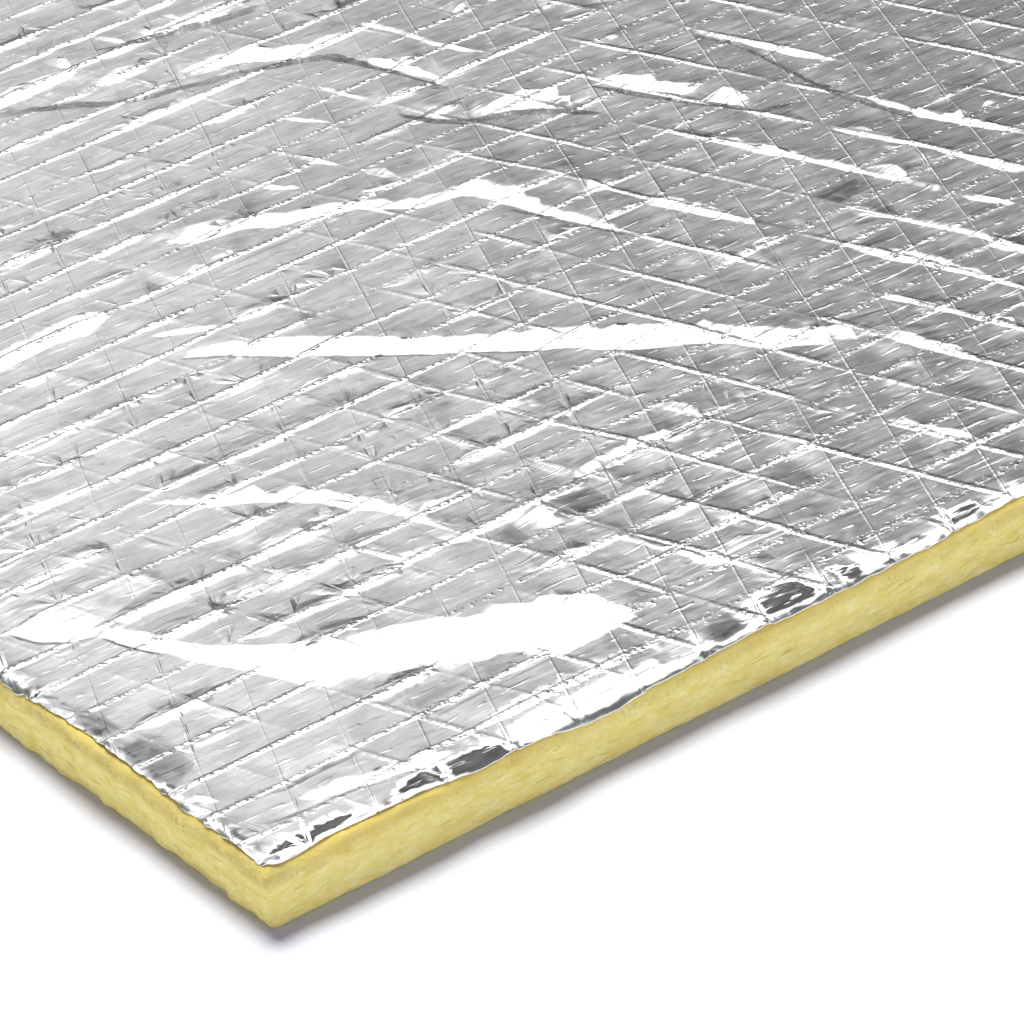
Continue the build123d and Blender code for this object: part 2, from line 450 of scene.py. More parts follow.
# Small faces of the pressed-down rim and edge: outline, how steeply each faces the near side
# (below zero: away from it), and how far it overrules the smooth shape.
PATCHES = [
    ([(11, 114), (14, 107), (19.5, 101.5), (24, 99), (26, 92), (30, 83), (32, 76), (35, 71), (39, 62), (43.6, 51), (46.3, 47), (50, 47),
      (58, 41.5), (64, 39), (67, 36), (75, 30), (81.4, 27.6), (86, 22.6), (93, 22.4), (101, 22.2), (106, 23.6), (107, 26), (104.5, 32), (101, 38),
      (96.5, 42.4), (92, 42.4), (80.5, 48), (77, 52), (68, 57), (59.4, 60.7), (48.5, 68),
      (38, 79), (34, 86), (31, 94), (27, 101), (20, 110), (12, 116.5)], 12, 0.95),
    ([(80, 45), (88, 47), (93.5, 42), (96.8, 42.6), (100.6, 38.6), (104.7, 35.2), (105.4, 31), (107.1, 26), (105, 22.2), (99.4, 21.6), (90.3, 21.0),
      (85.9, 20.8), (82.6, 25), (79, 34)], 18, 0.97),
    ([(3, 5.4), (8, 7.6), (14, 8.2), (22, 7.0), (28, 4.6), (20, 3.3), (10, 3.2)], 43, 1.0),
    ([(32, 3.6), (36, 6.8), (41, 8.2), (46, 7.6), (46, 2.6), (38, 2.4)], 42, 0.95),
    ([(46, 7.6), (51, 7.4), (56, 6.4), (60, 4.0), (59, 1.4), (52, 1.2), (46, 2.2)], 44, 1.0),
    ([(63.4, 5.0), (65.2, 5.4), (65.4, 1.8), (63.2, 1.8)], 43, 1.0),
    ([(73.6, 5.6), (75.0, 5.2), (75.2, 1.6), (73.2, 1.6)], 43, 1.0),
    ([(81.4, 4.6), (83.0, 5.0), (83.2, 1.8), (81.2, 1.6)], 43, 1.0),
    ([(60, 8.4), (72, 9.4), (86, 9.2), (99, 8.0), (99, 2.0), (84, 1.4), (61, 1.6)], 13, 0.75),
    ([(101, 8.0), (106.6, 8.4), (107, 2.2), (101, 2.0)], -1, 0.8),
    ([(107.2, 8.6), (110, 9.0), (110.4, 2.2), (107.4, 2.2)], 13, 0.85),
    ([(111.4, 8.2), (115, 9.6), (118.6, 8.4), (118.6, 2.0), (111.4, 2.0)], -13, 0.8),
    ([(119, 8.8), (123, 9.8), (122.6, 2.0), (119, 2.0)], 13, 0.85),
    ([(123.4, 9.6), (126, 11.6), (131, 12.2), (137, 9.8), (137.4, 2.6), (130, 1.4), (123.6, 2.0)], 43, 0.92),
    ([(138, 10.4), (143, 9.8), (142.6, 2.0), (138, 2.2)], 13, 0.85),
    ([(143.4, 9.2), (148.6, 5.0), (148.4, 1.6), (143.4, 1.6)], 42, 0.95),
    ([(149, 9.4), (160, 8.0), (160, 2.4), (149, 2.0)], 13, 0.8),
    ([(161, 8.4), (169, 8.2), (169, 2.6), (161, 2.6)], 0, 0.8),
    ([(171.6, 7.6), (176, 8.4), (181, 7.4), (181, 2.8), (172, 2.8)], 42, 0.9),
    ([(182, 8.0), (192, 7.4), (192, 2.8), (182, 2.8)], 12, 0.7),
    ([(2.6, 42), (7, 40.5), (12, 43), (12.4, 51), (11, 59), (3, 60)], -14, 0.95),
    ([(2.4, 66), (8, 65.4), (8.6, 72), (7, 76.4), (2.4, 76)], -14, 0.95),
    ([(121, 73), (130, 72), (130, 63.6), (122, 63.4)], -12, 0.85),
    ([(104, 71), (109, 71.4), (109, 63.4), (104.4, 63.2)], -12, 0.85),
    ([(47, 44), (52, 45), (56, 40), (61, 37), (60, 33), (52, 32), (46, 37)], -2, 0.9),
    ([(66, 33), (72, 29.6), (78, 27.2), (77, 25.4), (68, 26)], -2, 0.85),
    ([(84, 32), (92, 30), (98, 33), (92, 36.6)], 11, 0.8),
    ([(53, 32), (62, 33.4), (68, 30), (66, 25.4), (54, 25.6)], -4, 0.9),
    ([(72, 31), (78, 31.4), (82, 28), (80, 25.4), (73, 25.6)], -4, 0.9),
    ([(240, 138.6), (249, 138.8), (254.4, 137), (253, 130.6), (243, 130.8)], -11, 0.85),
    ([(234, 113.6), (242, 113.8), (243, 108.6), (234.6, 108.4)], -6, 0.7),
    ([(60, 218), (72.1, 219.8), (81.2, 220.4), (90.8, 221.1), (97.8, 218), (98.8, 214.6), (90.2, 210.6), (83.5, 213), (72.8, 212), (60, 211)], 11, 0.95),
    ([(126, 331), (139.3, 332), (149.2, 332.6), (156.6, 332), (160, 328), (154.9, 325.9), (147.5, 326.2), (139.2, 325.4), (126, 325)], 11, 0.95),
]


def yarn_lay(x, y):
    """How strongly each set of yarns shows, how wrinkled the cells are, and where the foil stands off the yarns."""
    g = 0.81 * x - 0.57 * y
    seen = in_polygon([(-20, -20), (240, -20), (380, 172), (290, 300), (200, 400), (120, 400), (60, 260), (-20, 160)], x, y)
    right = smooth((g - 5) / 90)
    a = np.where(seen, 1.25 - 0.66 * smooth((g - 30) / 80), 0.90)
    b = np.where(seen, 0.15 + 0.95 * right, 0.80)
    wrinkles = np.where(seen, 0.40 + 0.95 * smooth((g - 15) / 90), 0.85)
    turn_b, turn_c = 90 + math.degrees(math.atan(TAN_B)), 90 - math.degrees(math.atan(TAN_C))
    a = a * np.clip(0.66 + 0.62 * noise(x, y, 19, 6, 101), 0.1, 1.2)
    b = b * np.clip(0.50 + 1.15 * noise(x, y, 12, 5, 102, turn_b), 0.06, 1.3)
    c = (0.55 + 0.75 * right * seen) * np.clip(0.75 + 0.9 * noise(x, y, 11, 5, 103, turn_c), 0.15, 1.5)
    hold = np.where(seen, 0.48 + 0.30 * smooth((g - 30) / 70), 0.50)
    loose = np.exp(-((x - 92) / 62) ** 2 - ((y - 92) / 54) ** 2) + 0.7 * np.exp(-((x - 30) / 30) ** 2 - ((y - 150) / 30) ** 2)
    a = a * (1 - 0.42 * loose)
    c = c * (1 - 0.55 * np.minimum(loose, 1.0))
    # everything lies flatter further from the near corner on the right
    calm = 1 - 0.34 * smooth((0.515 * x + 0.858 * y - 150) / 110) * right * seen
    a, b, wrinkles = a * calm, b * calm, wrinkles * calm
    flare_a = smooth((noise(x, y, 17, 5.5, 104) - hold + 0.56 * loose) / 0.35)
    flare_a = flare_a * (1 - 0.12 * np.minimum(loose, 1.0))
    flare_b = smooth((noise(x, y, 12, 5, 105, turn_b) - 0.50 + 0.36 * loose) / 0.35) * np.maximum(b, 0.42 * loose)
    # the net hardly shows through the broad tilted face
    bare = np.zeros(len(x))
    for outline, _, _ in PATCHES[:2]:
        m = in_polygon(outline, x, y)
        ring = np.array(outline + outline[:1], float)
        bare[m] = np.maximum(bare[m], smooth(nearest(ring, np.column_stack([x[m], y[m]]))[0] / 3.0))
    open_ = 1 - 0.78 * bare
    return np.column_stack([a * open_, b * open_, wrinkles * open_]), np.column_stack([flare_a * open_, flare_b * open_, c * open_])


# --- outline of the facing ---------------------------------------------------------
def facing_inset(along, side):
    front = np.interp(along, [0, 4, 18, 40, 62, 85, 110, 134, 160, 186, 215], [1.8, 2.2, 2.65, 1.95, 1.05, 0.8, 1.5, 1.0, 1.55, 2.1, 1.6])
    left = np.interp(along, [0, 6, 11, 28, 47, 65, 82, 99, 125], [1.8, 1.9, 1.95, 1.85, 2.2, 2.4, 1.7, 0.95, 1.6])
    free = 1.6 + 0.65 * noise(along, side * 71.0, 24, 9, 71)
    base = np.where(side == 0, np.where(along < 205, front, free), np.where(side == 3, np.where(along < 115, left, free), free))
    ragged = np.choose(side, [0.10, 0.14, 0.10, 0.24])
    return np.clip(base + ragged * noise(along, side * 71.0, 2.3, 9, 72) + 0.6 * ragged * noise(along, side * 71.0, 0.9, 9, 73), 0.35, 4.0)


def rounded_loop(inset, radius, step):
    """Points, outward ways, places along a side and sides of a rounded square, counter-clockwise from the near corner."""
    a, b = inset, SIDE - inset
    pts, ways = [], []
    straight = b - a - 2 * radius
    n = int(round(straight / step))
    arc = max(3, int(round(radius * math.pi / 2 / step * 1.6)))
    corners = [((a, a), 270), ((b, a), 0), ((b, b), 90), ((a, b), 180)]
    for k in range(4):
        (x0, y0), _ = corners[k]
        heading = math.radians(90 * k)
        d = np.array([math.cos(heading), math.sin(heading)])
        out = np.array([math.sin(heading), -math.cos(heading)])
        base = np.array([x0, y0]) + d * radius
        for i in range(n + 1):
            pts.append(base + d * straight * i / n)
            ways.append(out)
        centre = base + d * straight - out * radius
        for i in range(1, arc):
            t = math.pi / 2 * i / arc
            w = out * math.cos(t) + d * math.sin(t)
            pts.append(centre + w * radius)
            ways.append(w)
    pts, ways = np.array(pts), np.array(ways)
    _, along, side = edge_place(pts[:, 0], pts[:, 1])
    return pts, ways, along, side


def triangulate(points, edges, keep):
    """Constrained triangles of flat points, the given point behind each point (or -1), and the new place of each given one; keep says which middles stay."""
    out = delaunay_2d_cdt([Vector((float(p[0]), float(p[1]))) for p in points], [(int(a), int(b)) for a, b in edges], [], 0, 1e-5, True)
    co = np.array([(v[0], v[1]) for v in out[0]])
    tri = np.array([f for f in out[2] if len(f) == 3], int)
    mid = co[tri].mean(1)
    tri = tri[keep(mid[:, 0], mid[:, 1])]
    a, b, c = co[tri[:, 0]], co[tri[:, 1]], co[tri[:, 2]]
    turn = (b[:, 0] - a[:, 0]) * (c[:, 1] - a[:, 1]) - (b[:, 1] - a[:, 1]) * (c[:, 0] - a[:, 0])
    tri = tri[np.abs(turn) > 1e-12]
    turn = turn[np.abs(turn) > 1e-12]
    tri[turn < 0] = tri[turn < 0][:, ::-1]
    used = np.unique(tri)
    where = np.full(len(co), -1)
    where[used] = np.arange(len(used))
    source, place = np.full(len(co), -1), np.full(len(points), -1)
    for i, given in enumerate(out[3]):
        if len(given):
            source[i] = given[0]
            for g in given:
                place[g] = where[i]
    return co[used], where[tri], source[used], place


def inside_loop(loop):
    """Test for points inside a closed outline close to the mat's sides."""
    p, q = loop, np.roll(loop, -1, axis=0)

    def test(x, y):
        d = np.minimum(np.minimum(x, SIDE - x), np.minimum(y, SIDE - y))
        ok = d > 7
        near = np.where((d <= 7) & (d > -5))[0]
        for part in np.array_split(near, max(1, len(near) // 4000)):
            X, Y = x[part][:, None], y[part][:, None]
            cross = (p[None, :, 1] > Y) != (q[None, :, 1] > Y)
            with np.errstate(divide="ignore", invalid="ignore"):
                at = p[None, :, 0] + (Y - p[None, :, 1]) * (q[None, :, 0] - p[None, :, 0]) / (q[None, :, 1] - p[None, :, 1])
            ok[part] = (cross & (X < at)).sum(1) % 2 == 1
        return ok

    return test


def boundary_of(tri):
    """Directed open edges of triangles as an ordered loop of points."""
    e = np.concatenate([tri[:, [0, 1]], tri[:, [1, 2]], tri[:, [2, 0]]])
    have = set(map(tuple, e.tolist()))
    nxt = {a: b for a, b in have if (b, a) not in have}
    start = next(iter(nxt))
    loop = [start]
    while nxt[loop[-1]] != start:
        loop.append(nxt[loop[-1]])
        if len(loop) > len(nxt):
            break
    return loop, len(nxt)


def make_mesh(name, co, tri, smooth_faces=True):
    me = bpy.data.meshes.new(name)
    me.vertices.add(len(co))
    me.vertices.foreach_set("co", np.asarray(co, np.float32).ravel())
    me.loops.add(len(tri) * 3)
    me.loops.foreach_set("vertex_index", np.asarray(tri, np.int32).ravel())
    me.polygons.add(len(tri))
    me.polygons.foreach_set("loop_start", np.arange(0, len(tri) * 3, 3, dtype=np.int32))
    me.polygons.foreach_set("loop_total", np.full(len(tri), 3, np.int32))
    me.update(calc_edges=True)
    me.validate()
    if smooth_faces:
        me.polygons.foreach_set("use_smooth", np.ones(len(me.polygons), bool))
    ob = bpy.data.objects.new(name, me)
    bpy.context.scene.collection.objects.link(ob)
    return ob


def planar_uv(ob, name="OFBake"):
    me = ob.data
    uv = me.uv_layers.new(name=name)
    co = np.zeros(len(me.vertices) * 3, np.float32)
    me.vertices.foreach_get("co", co)
    co = co.reshape(-1, 3)
    idx = np.zeros(len(me.loops), np.int32)
    me.loops.foreach_get("vertex_index", idx)
    u = (co[idx][:, :2] * 1000 + HALF + 4) / (SIDE + 8)
    uv.data.foreach_set("uv", u.astype(np.float32).ravel())


# ---------------------------------------------------------------------------
# Foil facing
# ---------------------------------------------------------------------------
def trace(family, c, offset):
    """The yarn at station c, moved sideways by an offset, as points across the whole mat."""
    s = c + offset * NORMS[family]
    t = np.linspace(-3, SIDE + 3, 27)
    if family == "A":
        x, y = t, np.full_like(t, s)
        for _ in range(3):
            y = s - wander("A", x, y)
    else:
        y = t
        slant = TAN_B if family == "B" else -TAN_C
        x = s - slant * y
        for _ in range(4):
            x = s + bow(y) - slant * y - wander(family, x, y)
    return np.column_stack([x, y])


def build_foil():
    pts, edges = [], []

    def add_line(line, closed=False):
        first = len(pts)
        pts.extend(line.tolist())
        edges.extend((first + i, first + i + 1) for i in range(len(line) - 1))
        if closed:
            edges.append((first + len(line) - 1, first))

    base, ways, along, side = rounded_loop(0.0, 5.5, 1.5)
    outline = base - ways * facing_inset(along, side)[:, None]
    add_line(outline, closed=True)
    for f in "ABC":
        for c in LINES[f]:
            for o in (-YARN_HALF[f], 0.0, YARN_HALF[f]):
                line = trace(f, c, o)
                ok = (line[:, 0] > -8) & (line[:, 0] < SIDE + 8) & (line[:, 1] > -8) & (line[:, 1] < SIDE + 8)
                if f == "C" and o:
                    ok &= in_polygon(SEEN, line[:, 0], line[:, 1])
                if ok.sum() >= 2:
                    i = np.where(ok)[0]
                    i = np.arange(max(0, i[0] - 1), min(len(line), i[-1] + 2))
                    add_line(line[i])
    for f in FOLDS:
        for edge, out in ((f.foot, 1.0), (f.crest, -1.0)):
            way = np.gradient(edge, axis=0)
            way = way / np.maximum(np.hypot(way[:, 0], way[:, 1]), 1e-9)[:, None]
            side = np.column_stack([way[:, 1], -way[:, 0]])
            if (side @ NEAR_SIDE).mean() < 0:
                side = -side
            for o in ((-0.26, 0.26) if out > 0 else (-0.3, f.soft)) if f.fine else (0.0,):
                g = edge + side * o
                d, _, _ = edge_place(g[:, 0], g[:, 1])
                g = g[d > 4.5]
                if len(g) > 1:
                    add_line(g)
    for outline_of_patch, _, _ in PATCHES:
        p = np.array(outline_of_patch, float)
        middle = p.mean(0)
        for k in (1.0, 1.0 - 0.5 / max(1.0, np.hypot(*(p - middle).T).mean())):
            q = resample(np.concatenate([middle + (p - middle) * k, [middle + (p[0] - middle) * k]]), 1.6)[:-1]
            d, _, _ = edge_place(q[:, 0], q[:, 1])
            if (d > 3.4).all():
                add_line(q, closed=True)
            else:
                pts.extend(q[d > 3.4].tolist())
    r = np.random.default_rng(5)
    for gap in (0.9, 1.9, 3.1, 4.6, 6.4):
        ring = rounded_loop(0.0, 5.5, 1.5 if gap < 4 else 2.2)
        p = ring[0] - ring[1] * (facing_inset(ring[2], ring[3]) + gap + r.uniform(-0.2, 0.2, len(ring[0])))[:, None]
        _, i = np.unique(np.round(p / 0.6).astype(int), axis=0, return_index=True)
        pts.extend(p[np.sort(i)].tolist())
    grids = []
    for step, near in ((2.7, True), (5.2, False)):
        g = np.arange(9, SIDE - 8, step)
        X, Y = np.meshgrid(g, g)
        X, Y = X.ravel() + r.uniform(-0.28, 0.28, X.size) * step, Y.ravel() + r.uniform(-0.28, 0.28, X.size) * step
        m = in_polygon(SEEN, X, Y) == near
        grids.append(np.column_stack([X[m], Y[m]]))
    X, Y = np.concatenate(grids).T
    free = np.ones(len(X), bool)
    for f in "ABC":
        free &= np.abs(off_yarn(f, X, Y)) > YARN_HALF[f] + 0.45
    pts.extend(np.column_stack([X[free], Y[free]]).tolist())
    co, tri, _, _ = triangulate(pts, edges, inside_loop(outline))
    x, y = co[:, 0], co[:, 1]
    base_z, _ = foil_surface(x, y)
    z = base_z + yarns(x, y)
    e = 0.12
    gx = (foil_surface(x + e, y)[1] - foil_surface(x - e, y)[1]) / (2 * e)
    gy = (foil_surface(x, y + e)[1] - foil_surface(x, y - e)[1]) / (2 * e)
    wide = 0.45
    wx = (foil_surface(x + wide, y)[1] - foil_surface(x - wide, y)[1]) / (2 * wide)
    wy = (foil_surface(x, y + wide)[1] - foil_surface(x, y - wide)[1]) / (2 * wide)
    jump = (np.hypot(gx, gy) > 1.6 * np.hypot(wx, wy) + 0.10) & (edge_place(x, y)[0] > 5)
    gx, gy = np.where(jump, 0.5 * wx, gx), np.where(jump, 0.5 * wy, gy)
    big = np.maximum(1.0, np.hypot(gx, gy) / 1.5)
    gx, gy = gx / big, gy / big
    for outline_of_patch, slope, hold in PATCHES:
        m = in_polygon(outline_of_patch, x, y)
        ring = np.array(outline_of_patch + outline_of_patch[:1], float)
        w = hold * m
        w[m] *= 0.30 + 0.70 * smooth(nearest(ring, np.column_stack([x[m], y[m]]))[0] / 0.9)
        g = math.tan(math.radians(slope)) * (1 + 0.30 * noise(x, y, 4.6, 1.6, 91) + 0.22 * noise(x, y, 1.7, 1.1, 92))
        gx = gx * (1 - w) - w * g * NEAR_SIDE[0]
        gy = gy * (1 - w) - w * g * NEAR_SIDE[1]
    d, _, _ = edge_place(x, y)
    normal = np.column_stack([-gx, -gy, np.ones_like(gx)])
    normal /= np.linalg.norm(normal, axis=1)[:, None]
    loop, count = boundary_of(tri)
    loop = np.array(loop)
    # underside: the same outline, a sparser sheet that never rises through the upper face
    n = len(co)
    low_xy = co[loop]
    low_z = z[loop] - FOIL * 0.85
    inner, inner_z = underside_points()
    ptsb = np.concatenate([low_xy, inner])
    edb = [(i, (i + 1) % len(loop)) for i in range(len(loop))]
    cob, trib, given, place = triangulate(ptsb, edb, inside_loop(low_xy))
    zb = np.where(given >= 0, np.concatenate([low_z, inner_z])[given], TOP - 0.6)
    # wall between the two outlines
    low = place[:len(loop)] + n
    print("foil: outline points left out below", int((place[:len(loop)] < 0).sum()))
    wall = []
    for i in range(len(loop)):
        j = (i + 1) % len(loop)
        wall += [(loop[i], low[i], low[j]), (loop[i], low[j], loop[j])]
    tri_all = np.concatenate([tri, trib[:, ::-1] + n, np.array(wall)])
    xyz = np.concatenate([to_world(x, y, z), to_world(cob[:, 0], cob[:, 1], zb)])
    ob = make_mesh("foil_facing_crinkled", xyz, tri_all)
    me = ob.data
    print("foil: upper points", n, "upper triangles", len(tri), "in all", len(me.polygons), "open edge", count, len(loop))
    full = np.zeros((len(xyz), 3))
    full[:n] = normal
    full[n:] = (0, 0, -1)
    idx = np.zeros(len(me.loops), np.int32)
    me.loops.foreach_get("vertex_index", idx)
    corner_normals = full[idx]
    # the thin wall keeps its own faces' normals
    first_wall = len(tri) + len(trib)
    flat = np.zeros(len(me.polygons) * 3, np.float32)
    me.polygons.foreach_get("normal", flat)
    flat = flat.reshape(-1, 3)
    corner_normals[first_wall * 3:] = np.repeat(flat[first_wall:], 3, axis=0)
    me.normals_split_custom_set([tuple(v) for v in corner_normals.tolist()])
    att = me.attributes.new("yarn", "FLOAT_VECTOR", "POINT")
    ph = np.column_stack([phase(f, np.concatenate([x, cob[:, 0]]), np.concatenate([y, cob[:, 1]])) for f in "ABC"])
    att.data.foreach_set("vector", ph.astype(np.float32).ravel())
    att = me.attributes.new("lay", "FLOAT_VECTOR", "POINT")
    both = np.concatenate([x, cob[:, 0]]), np.concatenate([y, cob[:, 1]])
    lay, flare = yarn_lay(*both)
    att.data.foreach_set("vector", lay.astype(np.float32).ravel())
    att = me.attributes.new("flare", "FLOAT_VECTOR", "POINT")
    att.data.foreach_set("vector", flare.astype(np.float32).ravel())
    att = me.attributes.new("stray", "FLOAT", "POINT")
    att.data.foreach_set("value", (0.12 * noise(*both, 10, 6, 106)).astype(np.float32))
    planar_uv(ob)
    return ob


_under = {}


def underside_points():
    """Sparse points of the hidden face between foil and wool, low enough to stay under every crease."""
    if not _under:
        step = 1.5
        g = np.arange(0, SIDE + step, step)
        X, Y = np.meshgrid(g, g, indexing="ij")
        H = foil_surface(X.ravel(), Y.ravel())[0].reshape(X.shape)
        low = H.copy()
        for axis in (0, 1):
            stack = [np.roll(low, k, axis=axis) for k in range(-4, 5)]
            low = np.min(stack, axis=0)
        pts, zs = [], []
        for gap in (1.1, 2.4, 4.0, 6.0, 8.5):
            ring = rounded_loop(0.0, 5.5, 1.9)
            p = ring[0] - ring[1] * (facing_inset(ring[2], ring[3]) + gap)[:, None]
            _, i = np.unique(np.round(p / 0.9).astype(int), axis=0, return_index=True)
            p = p[np.sort(i)]
            pts.append(p)
            zs.append(wool_surface(p[:, 0], p[:, 1]) + 0.02)
        h = np.arange(14, SIDE - 13, 7.0)
        U, V = np.meshgrid(h, h)
        U, V = U.ravel(), V.ravel()
        i, j = np.rint(U / step).astype(int), np.rint(V / step).astype(int)
        pts.append(np.column_stack([U, V]))
        zs.append(low[i, j] - FOIL)
        _under["pts"] = np.concatenate(pts)
        _under["z"] = np.concatenate(zs)
    return _under["pts"], _under["z"]


# ---------------------------------------------------------------------------
# Wool pad
# ---------------------------------------------------------------------------
SIDE_LOOK = {0: (0.16, 0.10, 0.10), 1: (0.22, 0.14, 0.25), 2: (0.16, 0.10, 0.10), 3: (0.26, 0.16, 0.45)}


def side_push(along, z, side):
    """How far the cut face stands out from the plane of the side, in millimetres."""
    big = np.choose(side, [SIDE_LOOK[k][0] for k in range(4)])
    small = np.choose(side, [SIDE_LOOK[k][1] for k in range(4)])
    hem = np.choose(side, [SIDE_LOOK[k][2] for k in range(4)])
    o = side * 91.0
    p = big * noise(along, z + o, 21, 7, 81) + big * 0.8 * noise(along, z + o, 9, 3.2, 82)
    p = p + small * noise(along, z + o, 4.2, 1.5, 83) + 0.6 * small * noise(along, z + o, 1.9, 0.8, 84)
    low = smooth(1 - z / 3.2)
    p = p + low * hem * (0.9 * noise(along, o, 13, 5, 85) + 0.8 * noise(along, o, 4.3, 5, 86) + 0.5 * noise(along, o, 1.7, 5, 87))
    return p


def build_wool():
    loop, ways, along, side = rounded_loop(0.0, CORNER, 1.35)
    m = len(loop)
    r = shoulder_radius(along, side)
    top_z = TOP - r
    rows = np.array([0.0, 0.035, 0.09, 0.17, 0.26, 0.35, 0.44, 0.53, 0.62, 0.71, 0.80, 0.88, 0.95, 1.0])
    near_corner = smooth((np.minimum(along, SIDE - along)) / 9)
    xyz = []
    for k, f in enumerate(rows):
        z = top_z * f
        push = side_push(along, z, side) * (0.3 + 0.7 * near_corner)
        if k == 0:
            push = push - 0.08
        elif k == 1:
            push = push - 0.02
        if k == len(rows) - 1:
            push = push * 0.55
        p = loop + ways * push[:, None]
        xyz.append(np.column_stack([p, z]))
    side_co = np.concatenate(xyz)
    tri = []
    idx = np.arange(m)
    nxt = (idx + 1) % m
    for k in range(len(rows) - 1):
        a, b, c, d = k * m + idx, k * m + nxt, (k + 1) * m + nxt, (k + 1) * m + idx
        tri.append(np.column_stack([a, b, c]))
        tri.append(np.column_stack([a, c, d]))
    tri = np.concatenate(tri)
    # top: rings over the shoulder, then the hidden face under the foil
    top_first = (len(rows) - 1) * m
    rim_xy = side_co[top_first:, :2]
    pts, zs = [rim_xy], [side_co[top_first:, 2]]
    for gap in (0.06, 0.2, 0.45, 0.8, 1.25, 1.85, 2.6, 3.6, 5.0, 7.0):
        ring = rounded_loop(gap, max(CORNER - gap, 0.4), 1.5 if gap < 2 else 2.4)
        p = ring[0]
        w = ring[1]
        push = side_push(ring[2], TOP - shoulder_radius(ring[2], ring[3]) + 0 * ring[2], ring[3]) * 0.55 * max(0.0, 1 - gap / 1.5)
        p = p + w * push[:, None]
        z = wool_surface(ring[0][:, 0], ring[0][:, 1])
        z = z + 0.10 * smooth(np.array(1 - gap / 2.2)) * noise(ring[2], ring[3] * 33.0 + gap, 3.4, 1.2, 88)
        pts.append(p)
        zs.append(z)
    inner, inner_z = underside_points()
    d, _, _ = edge_place(inner[:, 0], inner[:, 1])
    far = d > 8.2
    pts.append(inner[far])
    zs.append(inner_z[far] - 0.06)
    P, Z = np.concatenate(pts), np.concatenate(zs)
    co, t2, src, _ = triangulate(P, [(i, (i + 1) % m) for i in range(m)], inside_loop(rim_xy))
    zt = np.where(src >= 0, Z[src], TOP - 0.8)
    n0 = len(side_co)
    remap = np.where((src >= 0) & (src < m), top_first + src, 0)
    extra = ~((src >= 0) & (src < m))
    remap[extra] = n0 + np.arange(extra.sum())
    top_tri = remap[t2]
    top_co = np.column_stack([co[extra], zt[extra]])
    # underside: nearly flat, with the soft relief of the wool
    n1 = n0 + len(top_co)
    low_xy = side_co[:m, :2]
    g = np.arange(5, SIDE - 4, 6.0)
    U, V = np.meshgrid(g, g)
    rr = np.random.default_rng(9)
    U, V = U.ravel() + rr.uniform(-1.5, 1.5, U.size), V.ravel() + rr.uniform(-1.5, 1.5, V.size)
    Pb = np.concatenate([low_xy, np.column_stack([U, V])])
    cob, t3, src, _ = triangulate(Pb, [(i, (i + 1) % m) for i in range(m)], inside_loop(low_xy))
    extra = (src < 0) | (src >= m)
    remap = np.where(extra, 0, src)
    remap[extra] = n1 + np.arange(extra.sum())
    zb = 0.12 + 0.12 * noise(cob[:, 0], cob[:, 1], 17, 13, 89, 15) + 0.0 * cob[:, 0]
    zb = np.clip(zb * smooth((edge_place(cob[:, 0], cob[:, 1])[0]) / 10), 0, None)
    low_tri = remap[t3][:, ::-1]
    low_co = np.column_stack([cob[extra], zb[extra]])
    allco = np.concatenate([side_co, top_co, low_co])
    alltri = np.concatenate([tri, top_tri, low_tri])
    ob = make_mesh("glass_wool_pad_fibrous", to_world(allco[:, 0], allco[:, 1], allco[:, 2]), alltri)
    print("wool: points", len(allco), "triangles", len(alltri))
    return ob


